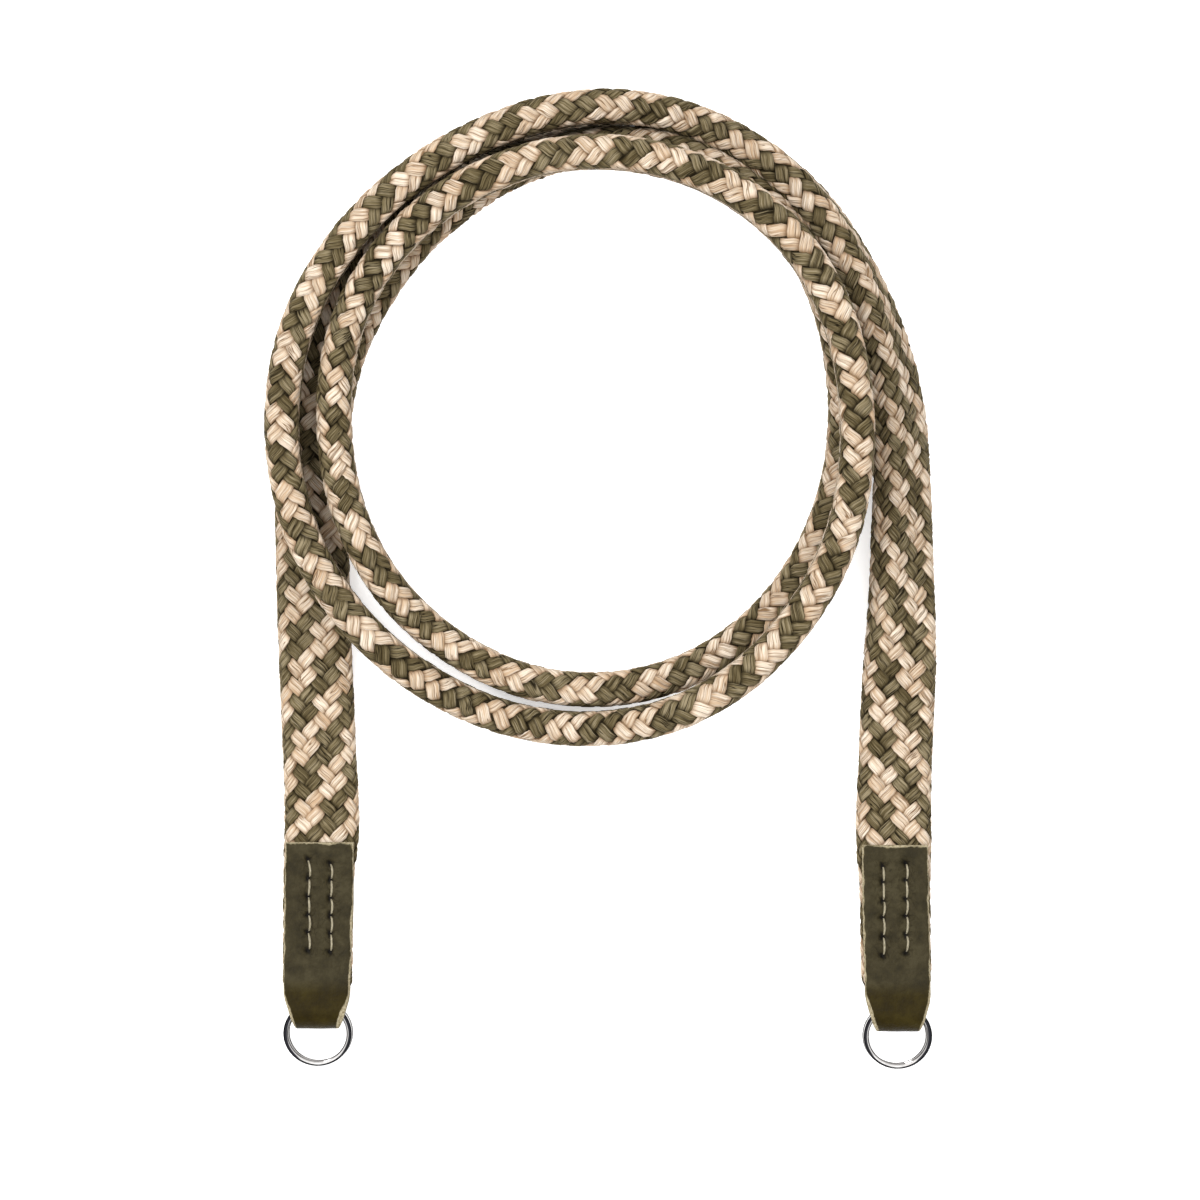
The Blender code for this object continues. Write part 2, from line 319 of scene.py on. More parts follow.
mark_turn, mark_count, mark_wander = np.array(BRAID_MARKS).T
mark_at = np.interp(-mark_turn, -turn, along)
pitch = np.diff(mark_at) / np.diff(mark_count)
mark_at = np.concatenate(
    [[mark_at[0] - SPARE_FLOATS * pitch[0]], mark_at, [mark_at[-1] + SPARE_FLOATS * pitch[-1]]]
)
mark_count = np.concatenate(
    [[mark_count[0] - SPARE_FLOATS], mark_count, [mark_count[-1] + SPARE_FLOATS]]
)
mark_wander = np.concatenate([[START_WANDER], mark_wander, [END_WANDER]])
print("pitch in mm:", np.round(pitch, 2))

# %% [markdown]
# ## The view
#
# The strap was photographed from straight above. A wide lens close by would show the outer walls
# of the coil, so a long lens looks down from three metres, at a field a quarter of a metre wide.

# %% Camera, straight above
VIEW_WIDTH = 0.25
VIEW_HEIGHT = 3.0
SENSOR_WIDTH = 36.0

eye_data = bpy.data.cameras.new("overhead_camera")
eye_data.sensor_width = SENSOR_WIDTH
eye_data.lens = SENSOR_WIDTH * VIEW_HEIGHT / VIEW_WIDTH
eye_data.clip_end = 20.0
overhead = bpy.data.objects.new("overhead_camera", eye_data)
overhead.location = (-0.0003, -0.0042, VIEW_HEIGHT)
bpy.context.scene.collection.objects.link(overhead)
bpy.context.scene.camera = overhead
print("lens in mm:", eye_data.lens)

# %% [markdown]
# ## Dark core of the strap
#
# Behind the strands lies a dark tube, painted shade that shows as fine shadows between the
# floats. It is one smooth tube, a little inside the skin, that follows the whole route. A curve
# with a bevel would make a tube too, but rows of points on the skin keep the strap's own section
# and roll.
#
# The short helpers that come first are used by every piece: two build meshes from arrays of
# points, the others add nodes to a finish.

# %% Helpers for meshes
def mesh_object(name, verts, faces, mat):
    mesh = bpy.data.meshes.new(name)
    mesh.from_pydata([tuple(p) for p in verts], [], [tuple(f) for f in faces])
    mesh.update()
    mesh.polygons.foreach_set("use_smooth", [True] * len(mesh.polygons))
    mesh.materials.append(mat)
    obj = bpy.data.objects.new(name, mesh)
    bpy.context.scene.collection.objects.link(obj)
    return obj


def tube_faces(stations, points):
    """Quads between closed rows of points, with a face over each end."""
    i, j = np.meshgrid(np.arange(stations - 1), np.arange(points), indexing="ij")
    k = (j + 1) % points
    here, ahead = i * points, (i + 1) * points
    quads = np.stack([here + j, here + k, ahead + k, ahead + j], -1)
    faces = [tuple(q) for q in quads.reshape(-1, 4)]
    faces.append(tuple(range(points))[::-1])
    faces.append(tuple(range((stations - 1) * points, stations * points)))
    return faces


print("faces of a two-row, four-sided tube:", len(tube_faces(2, 4)))

# %% Helpers for finishes
def finish_of(name, roughness, metallic=0.0):
    mat = bpy.data.materials.new(name)
    mat.use_nodes = True
    shader = mat.node_tree.nodes["Principled BSDF"]
    shader.inputs["Roughness"].default_value = roughness
    shader.inputs["Metallic"].default_value = metallic
    return mat, mat.node_tree, shader


def feed(tree, socket, value):
    """Link another node's output to the socket, or set a plain value on it."""
    if isinstance(value, bpy.types.NodeSocket):
        tree.links.new(value, socket)
    else:
        socket.default_value = value


def node(tree, kind, **inputs):
    made = tree.nodes.new(kind)
    for name, value in inputs.items():
        feed(tree, made.inputs[name.replace("_", " ")], value)
    return made


def object_place(tree):
    """Coordinates in the piece's own metres, so that a pattern stays on the piece."""
    return tree.nodes.new("ShaderNodeTexCoord").outputs["Object"]


def noise(tree, vector, scale, detail, **more):
    made = node(tree, "ShaderNodeTexNoise", Vector=vector, Scale=scale, Detail=detail, **more)
    return made.outputs["Fac"]


def ramp(tree, factor, stops):
    made = tree.nodes.new("ShaderNodeValToRGB")
    tree.links.new(factor, made.inputs["Fac"])
    for _ in range(len(stops) - 2):
        made.color_ramp.elements.new(0.5)
    for element, (place, colour) in zip(made.color_ramp.elements, stops):
        element.position = place
        element.color = (*colour, 1.0)
    return made.outputs["Color"]


def bumped(tree, shader, height, strength, depth):
    made = node(tree, "ShaderNodeBump", Height=height, Strength=strength, Distance=depth)
    tree.links.new(made.outputs["Normal"], shader.inputs["Normal"])


# %% Core tube
CORE_SIDES = 24
CORE_STATIONS = 400
CORE_INSET = 0.6

core_finish, tree, shader = finish_of("dark_core", 0.95)
shader.inputs["Specular IOR Level"].default_value = 0.0
cloth = noise(tree, object_place(tree), 900.0, 4.0)
# painted shade: the core is near black, so the gaps between the floats look shadowed
core_shade_colour = ramp(tree, cloth, [(0.3, (0.008, 0.006, 0.003)), (0.7, (0.03, 0.023, 0.012))])
tree.links.new(core_shade_colour, shader.inputs["Base Color"])
bumped(tree, shader, cloth, 0.6, 0.0003)

core_places = np.linspace(0.0, strap_length, CORE_STATIONS)
round_core, down_core = np.meshgrid(np.arange(CORE_SIDES) * COLUMNS / CORE_SIDES, core_places)
core_verts = on_skin(round_core, down_core, -CORE_INSET).reshape(-1, 3)
core_faces = [f[::-1] for f in tube_faces(CORE_STATIONS, CORE_SIDES)]
core = mesh_object("braid_core", core_verts, core_faces, core_finish)
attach(core, "strap")
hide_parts("braided_strap")
print("core faces:", len(core_faces))

# %% [markdown]
# ## The strands
#
# A strand shows as a row of short floats. Each float is its own small pillow: two plies side by
# side with a groove between them, domed along its length, its ends diving under the strands that
# cross it. Weaving full strands over and under would give the same look with far more hidden
# faces, so only the floats are built, all at once with arrays.
#
# Light and dark strands alternate two by two in both directions, which gives the strap its
# zigzag of pale chevrons on olive.

# %% Shape of one float
FLOAT_LENGTH = 3.70
FLOAT_WIDTH = 2.68
FLOAT_LIFT = 0.12
FLOAT_LEAN = 43.0
# the sideways bend, in mm at half a float's length from its middle
FLOAT_BEND = 0.25
# how deep under the skin the point lies that closes a float from below
FLOAT_FOOT = -1.5
# a grid of points: places across and along as shares of the half width and half length, and how
# far the pillow drops (mm) or narrows at each
ACROSS = np.array([-1.0, -0.90, -0.52, -0.10, 0.0, 0.10, 0.52, 0.90, 1.0])
ACROSS_DROP = np.array([0.75, 0.25, 0.0, 0.06, 0.20, 0.06, 0.0, 0.25, 0.75])
LENGTHWISE = np.array([-1.55, -1.20, -0.88, -0.42, 0.42, 0.88, 1.20, 1.55])
LENGTH_DROP = np.array([1.25, 0.62, 0.25, 0.03, 0.03, 0.25, 0.62, 1.25])
LENGTH_NARROW = np.array([0.50, 0.76, 0.94, 1.03, 1.03, 0.94, 0.76, 0.50])


def float_faces(rows, cols):
    """Top quads and a fan underneath, for one float."""
    quads = []
    for i in range(rows - 1):
        for j in range(cols - 1):
            a = i * cols + j
            quads.append((a, a + 1, a + cols + 1, a + cols))
    rim = list(range(cols))
    rim += [i * cols + cols - 1 for i in range(1, rows)]
    rim += [(rows - 1) * cols + j for j in range(cols - 2, -1, -1)]
    rim += [i * cols for i in range(rows - 2, 0, -1)]
    foot = rows * cols
    fan = [(rim[(k + 1) % len(rim)], rim[k], foot) for k in range(len(rim))]
    return np.array(quads), np.array(fan)


quads_of_one, fan_of_one = float_faces(len(LENGTHWISE), len(ACROSS))
print("triangles in one float:", 2 * len(quads_of_one) + len(fan_of_one))

# %% Places of the floats
STRAND_NUMBERS = range(-330, 340)
# where a float sits in its column, as a share of a pitch
FLOAT_PHASE = 0.75
# bare core at both ends of the strap, and the length that the leather covers on both faces
END_MARGIN = 2.0
COVERED_END = 24.0
FACE_COLUMNS = (2, 3, 4, 5)
# under the first crossing, one family changes its place in the colour rhythm
RHYTHM_CHANGE = 92.0


def float_places(family):
    """Column, place along and colour of every float of the strands leaning one way."""
    spots = []
    first, last = np.interp([END_MARGIN, strap_length - END_MARGIN], mark_at, mark_count)
    for column in range(1 if family == "rising" else 0, COLUMNS, 2):
        for strand in STRAND_NUMBERS:
            if family == "rising":
                count = column - FLOAT_PHASE - strand
                light = strand % 4 in (0, 1)
            else:
                count = strand - column + FLOAT_PHASE
                light = strand % 4 in (1, 2)
            if not first <= count <= last:
                continue
            distance = float(np.interp(count, mark_count, mark_at))
            if family == "falling" and distance < RHYTHM_CHANGE:
                light = strand % 4 in (3, 0)
            from_end = min(distance, strap_length - distance)
            if column % HALF_ROUND in FACE_COLUMNS and from_end < COVERED_END:
                continue
            spots.append((column + 0.5, distance, light))
    return np.array(spots, float)


print("floats:", {family: len(float_places(family)) for family in ("rising", "falling")})

# %% Build the floats of one family and colour
# from here on towards the right end, the other family stands a little prouder
PROUD_CHANGE = 1030.0
PROUD_WIDTH = 0.10
PROUD_LIFT = 0.05
# how uneven the floats are by chance: share of the size, degrees, and millimetres
SIZE_SPREAD = 0.03
LEAN_SPREAD = 1.5
LIFT_SPREAD = 0.04
PLACE_SPREAD = 0.06
GROOVE_SPREAD = 0.20
GROOVE_LIMIT = 1.8
# where a float lies in the pattern of the yarn, in mm along and across
YARN_STRETCH = 400.0
YARN_HALF_WIDTH = 1.28


def uv_from_verts(obj, name, values):
    """A UV map from one pair of values a vertex."""
    layer = obj.data.uv_layers.new(name=name)
    corner = np.empty(len(obj.data.loops), int)
    obj.data.loops.foreach_get("vertex_index", corner)
    layer.data.foreach_set("uv", np.asarray(values, float)[corner].ravel())


def floats_object(name, family, spots, mat):
    lean = 1.0 if family == "rising" else -1.0
    count = len(spots)
    distance = spots[:, 1]
    column = spots[:, 0] + np.interp(distance, mark_at, mark_wander)
    proud = np.where(distance > PROUD_CHANGE, lean, -lean)
    length = FLOAT_LENGTH * (1 + SIZE_SPREAD * rng.standard_normal(count))
    width = FLOAT_WIDTH + PROUD_WIDTH * proud
    width = width * (1 + SIZE_SPREAD * rng.standard_normal(count))
    slant = np.radians(FLOAT_LEAN + LEAN_SPREAD * rng.standard_normal(count))[:, None, None]
    lift = FLOAT_LIFT + PROUD_LIFT * proud + LIFT_SPREAD * rng.standard_normal(count)
    groove = GROOVE_SPREAD * np.clip(rng.standard_normal(count), -GROOVE_LIMIT, GROOVE_LIMIT)
    shift = PLACE_SPREAD * rng.standard_normal((2, count))

    down, over = LENGTHWISE[None, :, None], ACROSS[None, None, :]
    groove = groove[:, None, None] * (1 - over**2)
    a = down * length[:, None, None] / 2 + 0 * groove
    b = (over + groove) * LENGTH_NARROW[None, :, None] * width[:, None, None] / 2
    b = b + lean * FLOAT_BEND * down**3
    move_round = a * np.cos(slant) - lean * b * np.sin(slant)
    move_along = lean * a * np.sin(slant) + b * np.cos(slant)
    rounds = (column + shift[0] / column_width)[:, None, None] + move_round / column_width
    places = (distance + shift[1])[:, None, None] + move_along
    height = lift[:, None, None] - LENGTH_DROP[None, :, None] - ACROSS_DROP[None, None, :]
    top = on_skin(rounds, places, height).reshape(count, -1, 3)
    foot = on_skin(column[:, None], distance[:, None], np.full((count, 1), FLOAT_FOOT))
    verts = np.concatenate([top, foot], axis=1)

    start = np.arange(count)[:, None, None] * verts.shape[1]
    quads = (quads_of_one[None] + start).reshape(-1, 4)
    fans = (fan_of_one[None] + start).reshape(-1, 3)
    obj = mesh_object(name, verts.reshape(-1, 3), list(quads) + list(fans), mat)

    # "yarn": mm along and across the float; "shade": its tint, and 0 to 1 from middle to ends
    offset = rng.uniform(0, YARN_STRETCH, (count, 1, 1))
    yarn = np.stack([a + offset, YARN_HALF_WIDTH * over + 0 * a], -1).reshape(count, -1, 2)
    yarn = np.concatenate([yarn, np.zeros((count, 1, 2))], axis=1)
    uv_from_verts(obj, "yarn", yarn.reshape(-1, 2))
    tint = rng.uniform(0, 1, (count, 1, 1)) + 0 * a
    toward_end = np.abs(down) / LENGTHWISE[-1] + 0 * a
    shade = np.stack([tint, toward_end], -1).reshape(count, -1, 2)
    shade = np.concatenate([shade, shade[:, :1]], axis=1)
    uv_from_verts(obj, "shade", shade.reshape(-1, 2))
    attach(obj, "strap")
    return obj


print("lean from the round direction in degrees:", FLOAT_LEAN)

# %% [markdown]
# ## Yarn
#
# The yarn is soft spun cord: fine fibres run along each float, and it is matt with a faint sheen.
# Painted shade darkens each float towards its ends and rim and along the lines between its plies,
# where the crossing strands and its own plies would shade it. A scanned cloth picture would repeat
# from float to float, so noise stretched along the fibres is used. One function makes both colours.

# %% More helpers for finishes
def uv_of(tree, name):
    made = tree.nodes.new("ShaderNodeUVMap")
    made.uv_map = name
    return made.outputs["UV"]


def stretched(tree, vector, scale):
    return node(tree, "ShaderNodeMapping", Vector=vector, Scale=scale).outputs["Vector"]


def calc(tree, kind, first, second=0.0):
    made = tree.nodes.new("ShaderNodeMath")
    made.operation = kind
    feed(tree, made.inputs[0], first)
    feed(tree, made.inputs[1], second)
    return made.outputs["Value"]


def blend_colours(tree, factor, first, second, kind="MIX"):
    made = tree.nodes.new("ShaderNodeMix")
    made.data_type = "RGBA"
    made.blend_type = kind
    sockets = {socket.identifier: socket for socket in made.inputs}
    feed(tree, sockets["Factor_Float"], factor)
    for name, colour in (("A_Color", first), ("B_Color", second)):
        feed(tree, sockets[name], (*colour, 1.0) if isinstance(colour, tuple) else colour)
    return next(s for s in made.outputs if s.identifier == "Result_Color")


def faded(tree, value, low, high, at_low, at_high):
    """A smooth step from at_low to at_high, as the value goes from low to high."""
    made = node(
        tree, "ShaderNodeMapRange", Value=value,
        From_Min=low, From_Max=high, To_Min=at_low, To_Max=at_high,
    )
    made.interpolation_type = "SMOOTHSTEP"
    return made.outputs["Result"]


# %% Yarn finishes
# spots of noise a millimetre, along and across the yarn
TUFTS = (0.14, 2.3, 1.0)
FIBRES = (0.32, 8.0, 1.0)
PLIES = (0.07, 1.7, 1.0)


def yarn_finish(name, deep, middle, pale, shadow_colour):
    mat, tree, shader = finish_of(name, 0.7)
    shader.inputs["Specular IOR Level"].default_value = 0.04
    yarn = uv_of(tree, "yarn")
    across_yarn = node(tree, "ShaderNodeSeparateXYZ", Vector=yarn).outputs["Y"]
    shade = node(tree, "ShaderNodeSeparateXYZ", Vector=uv_of(tree, "shade"))
    tint, toward_end = shade.outputs["X"], shade.outputs["Y"]

    thick = noise(tree, stretched(tree, yarn, TUFTS), 1.0, 2.0)
    thin = noise(tree, stretched(tree, yarn, FIBRES), 1.0, 2.0)
    fibres = calc(tree, "MULTIPLY", calc(tree, "ADD", thick, thin), 0.45)
    fibres = calc(tree, "ADD", fibres, calc(tree, "MULTIPLY", tint, 0.10))
    colour = ramp(tree, fibres, [(0.37, deep), (0.5, middle), (0.61, pale)])
    # painted shade: each float darkens towards its ends, where it dives under the crossing strands
    colour = blend_colours(tree, faded(tree, toward_end, 0.10, 0.62, 0.0, 0.55), colour, deep)

    # painted shade: dark lines between the plies, in the groove, along the rim and where the ends
    # dive
    plies = noise(tree, stretched(tree, yarn, PLIES), 1.0, 0.6)
    ply_line = calc(tree, "ABSOLUTE", calc(tree, "SUBTRACT", plies, 0.5))
    ply_line = faded(tree, ply_line, 0.0, 0.024, 0.95, 0.0)
    wiggle = calc(tree, "MULTIPLY", calc(tree, "SUBTRACT", thick, 0.5), 0.9)
    groove = calc(tree, "ABSOLUTE", calc(tree, "ADD", across_yarn, wiggle))
    groove = faded(tree, groove, 0.0, 0.13, 0.6, 0.0)
    rim = faded(tree, calc(tree, "ABSOLUTE", across_yarn), 1.04, 1.25, 0.0, 0.95)
    ends = faded(tree, toward_end, 0.42, 0.80, 0.0, 1.0)
    lines = calc(tree, "MAXIMUM", groove, ply_line)
    borders = calc(tree, "MAXIMUM", rim, ends)
    dim = calc(tree, "MAXIMUM", lines, borders)
    colour = blend_colours(tree, dim, colour, shadow_colour)
    tree.links.new(colour, shader.inputs["Base Color"])
    relief = calc(tree, "SUBTRACT", fibres, calc(tree, "MULTIPLY", ply_line, 0.4))
    bumped(tree, shader, relief, 0.8, 0.0004)
    return mat


light_yarn = yarn_finish(
    "light_yarn",
    deep=(0.38, 0.255, 0.152), middle=(0.485, 0.40, 0.307), pale=(0.685, 0.60, 0.497),
    shadow_colour=(0.15, 0.087, 0.042),
)
dark_yarn = yarn_finish(
    "dark_yarn",
    deep=(0.052, 0.038, 0.016), middle=(0.128, 0.100, 0.052), pale=(0.245, 0.200, 0.124),
    shadow_colour=(0.006, 0.004, 0.001),
)
print("yarns:", light_yarn.name, dark_yarn.name)

# %% Lay every float
for family in ("rising", "falling"):
    spots = float_places(family)
    for shade_name, is_light, mat in (("light", 1.0, light_yarn), ("dark", 0.0, dark_yarn)):
        chosen = spots[spots[:, 2] == is_light]
        piece = floats_object(f"{shade_name}_strands_{family}", family, chosen, mat)
        print(piece.name, "floats:", len(chosen))

print("cord length in mm:", round(strap_length, 1))

# %% [markdown]
# ## Leather eyes
#
# Each end of the strap is held in a folded strip of leather: an upper panel, a fold that carries
# the ring, and a lower panel. A bent plane with a Solidify modifier would do for a plain strip.
# Here the strip is one closed sheet of rows of points, fine enough for the needle holes to be real
# dents, with a worn, pale cut edge.

# %% Sizes of the leather and its holes, in millimetres
LEATHER_THICKNESS = 1.1
FOLD_RADIUS = 4.2
STRIP_LENGTH = 38.9
# y of the folded end, x of its middle, and the side that the panel drifts to
EYES = {"left": (-93.4, -59.1, 1.0), "right": (-94.0, 61.7, -1.0)}
# columns: distance from the folded end, half width, how far the middle has drifted
EYE_OUTLINE = {
    "left": [
        (0.0, 4.3, 0.0), (0.8, 4.8, 0.0), (2.0, 5.4, 0.0), (5.9, 6.6, -0.05), (7.5, 6.88, -0.1),
        (12.0, 7.0, 0.0), (26.0, 7.15, 0.35), (38.9, 7.08, 0.55),
    ],
    "right": [
        (0.0, 4.3, 0.0), (0.8, 4.8, 0.0), (2.0, 5.4, 0.0), (5.9, 6.5, 0.0), (7.5, 6.78, 0.05),
        (12.0, 6.85, 0.2), (26.0, 6.9, 0.55), (38.9, 6.85, 0.7),
    ],
}
# columns: distance from the folded end, pale width on the outer side, on the inner side
PALE_SIDES = {
    "left": [
        (0.0, 0.0, 0.1), (0.8, 0.15, 0.7), (2.0, 0.35, 1.15), (5.9, 0.1, 0.5), (7.5, 0.0, 0.1),
    ],
    "right": [
        (0.0, 0.0, 0.1), (0.8, 0.1, 0.5), (2.0, 0.25, 0.7), (5.9, 0.1, 0.3), (7.5, 0.0, 0.1),
    ],
}
# x of each row of holes, and the y of every hole in it
HOLES = {
    "left": [
        (-60.8, (-58.1, -62.0, -65.8, -69.5, -73.2, -77.0)),
        (-56.2, (-58.9, -62.3, -66.1, -69.7, -73.5, -77.3)),
    ],
    "right": [
        (58.6, (-59.5, -62.8, -66.7, -70.1, -74.1, -78.1)),
        (63.4, (-58.9, -62.4, -66.3, -69.8, -73.8, -77.5)),
    ],
}
print("holes on a panel:", len(HOLES["left"]) * len(HOLES["left"][0][1]))

# %% Leather finish
def spread(tree, value, low, high):
    made = node(tree, "ShaderNodeMapRange", Value=value, To_Min=low, To_Max=high)
    return made.outputs["Result"]


leather, tree, shader = finish_of("olive_leather", 0.5)
shader.inputs["Specular IOR Level"].default_value = 0.06
place = object_place(tree)
grain = node(tree, "ShaderNodeTexVoronoi", Vector=place, Scale=2600.0).outputs["Distance"]
cloudy = noise(tree, place, 300.0, 6.0, Roughness=0.65)
fine = noise(tree, place, 2200.0, 4.0)
patchy = noise(tree, place, 260.0, 2.0)
creased = noise(tree, place, 330.0, 3.0, Distortion=1.2)
# "marks": distance from a cut edge, painted shade of a hole; "zone": darker fold, how far creased
marks = node(tree, "ShaderNodeSeparateXYZ", Vector=uv_of(tree, "marks"))
zone = node(tree, "ShaderNodeSeparateXYZ", Vector=uv_of(tree, "zone"))
dyed = ramp(tree, cloudy, [
    (0.36, (0.017, 0.0135, 0.0055)),
    (0.5, (0.0255, 0.0203, 0.0086)),
    (0.64, (0.037, 0.0303, 0.0145)),
])
# darker and yellower towards the folded end
darker_fold = ramp(tree, cloudy, [
    (0.36, (0.012, 0.0078, 0.0003)),
    (0.5, (0.0175, 0.0118, 0.0005)),
    (0.64, (0.025, 0.0178, 0.002)),
])
colour = blend_colours(tree, zone.outputs["X"], dyed, darker_fold)
# painted shade: thin dark lines in the creases near the stitches
crease = calc(tree, "ABSOLUTE", calc(tree, "SUBTRACT", creased, 0.5))
crease = calc(tree, "MULTIPLY", faded(tree, crease, 0.0, 0.02, 0.65, 0.0), zone.outputs["Y"])
colour = blend_colours(tree, crease, colour, (0.006, 0.0045, 0.002))
worn = calc(tree, "ADD", calc(tree, "MULTIPLY", patchy, 0.20), calc(tree, "MULTIPLY", fine, 0.10))
frayed = calc(tree, "ADD", marks.outputs["X"], worn)
cut_edge = faded(tree, frayed, 0.175, 0.215, 1.0, 0.0)
edge_colour = ramp(tree, fine, [(0.3, (0.125, 0.100, 0.052)), (0.7, (0.38, 0.330, 0.225))])
colour = blend_colours(tree, cut_edge, colour, edge_colour)
# painted shade: the needle holes are darkened almost to black
colour = blend_colours(tree, marks.outputs["Y"], colour, (0.002, 0.0015, 0.001))
tree.links.new(colour, shader.inputs["Base Color"])
roughness = calc(tree, "MAXIMUM", spread(tree, cloudy, 0.35, 0.60), cut_edge)
tree.links.new(roughness, shader.inputs["Roughness"])
surface = calc(tree, "ADD", calc(tree, "MULTIPLY", grain, 0.6), fine)
surface = calc(tree, "SUBTRACT", surface, calc(tree, "MULTIPLY", crease, 1.2))
bumped(tree, shader, surface, 0.5, 0.0002)
print("leather nodes:", len(tree.nodes))

# %% The strip's path round the fold
PANEL_STEP = 0.3
FOLD_STEPS = 40
# rows of points close to the mouth, where the cut edge is rounded
NEAR_MOUTH = [0.0, 0.06, 0.15, 0.3, 0.5]
NEXT_TO_MOUTH = 0.8
# stands for "no cut end near", all round the fold
FAR_FROM_MOUTH = 20.0


def eye_path():
    """Distance from the folded end, height, outward direction, distance from the nearer mouth."""
    radius = FOLD_RADIUS - LEATHER_THICKNESS / 2
    down = np.arange(NEXT_TO_MOUTH, STRIP_LENGTH - FOLD_RADIUS, PANEL_STEP)
    straight = [STRIP_LENGTH - t for t in NEAR_MOUTH] + [STRIP_LENGTH - t for t in down]
    rows = [(d, radius, 0.0, 1.0, STRIP_LENGTH - d) for d in straight]
    for i in range(FOLD_STEPS + 1):
        a = math.pi * i / FOLD_STEPS
        d = FOLD_RADIUS - radius * math.sin(a)
        rows.append((d, radius * math.cos(a), -math.sin(a), math.cos(a), FAR_FROM_MOUTH))
    rows += [(d, -radius, 0.0, -1.0, STRIP_LENGTH - d) for d in straight[::-1]]
    return np.array(rows)


print("rows along the strip:", len(eye_path()))

# %% Needle holes and creases
HOLE_SIZE = 0.60
HOLE_DEPTH = 0.45
PRESSED_DEPTH = 0.14
PRESSED_WIDTH = 1.1
CREASED_WIDTH = 2.2
FADE_LENGTH = 1.5


def past_row(y, row_y):
    """How far y lies beyond either end of a row of holes; negative between them."""
    return np.maximum(y - row_y[0], row_y[-1] - y)


def dents(x, y, side):
    """Painted shade in the holes, and depth of the holes and of the line pressed by the thread."""
    shade = np.zeros_like(x)
    depth = np.zeros_like(x)
    for row_x, row_y in HOLES[side]:
        faded_out = np.clip(past_row(y, row_y) / FADE_LENGTH, 0, 1)
        depth += PRESSED_DEPTH * np.exp(-(((x - row_x) / PRESSED_WIDTH) ** 2)) * (1 - faded_out)
        for hole_y in row_y:
            around = np.arctan2(y - hole_y, x - row_x)
            ragged = 1 + 0.22 * np.sin(3 * around + 40 * hole_y)
            ragged = ragged + 0.12 * np.sin(7 * around + 9 * hole_y)
            away = np.hypot(x - row_x + 0.22, (y - hole_y) * 0.85) / (HOLE_SIZE * ragged)
            shade = np.maximum(shade, np.clip(1.5 - away, 0, 1))
            depth += HOLE_DEPTH * np.exp(-(away**2))
    return shade, depth


def near_stitches(x, y, side):
    """1 between and beside the stitch rows, 0 away from them: where the leather creases."""
    amount = np.zeros_like(x)
    for row_x, row_y in HOLES[side]:
        past = np.maximum(past_row(y, row_y), 0)
        near = np.exp(-(((x - row_x) / CREASED_WIDTH) ** 2) - (past / FADE_LENGTH) ** 2)
        amount = np.maximum(amount, near)
    return amount


print("hole depth in mm:", HOLE_DEPTH, "pressed line:", PRESSED_DEPTH)

# %% Fold one eye
# columns of points close to each side, over the width in which the side is rounded
NEAR_SIDE = np.array([0.0, 0.05, 0.15, 0.3, 0.5])
EDGE_ROUND = 0.5
INNER_COLUMNS = 41
UNDER_COLUMNS = 12
# the darker part at the fold: its reach from the folded end, and the length it fades over
DARK_FOLD_REACH = 10.5
DARK_FOLD_FADE = 3.0
# distance from a cut edge that counts as 1 in the map "marks"
MARK_REACH = 5


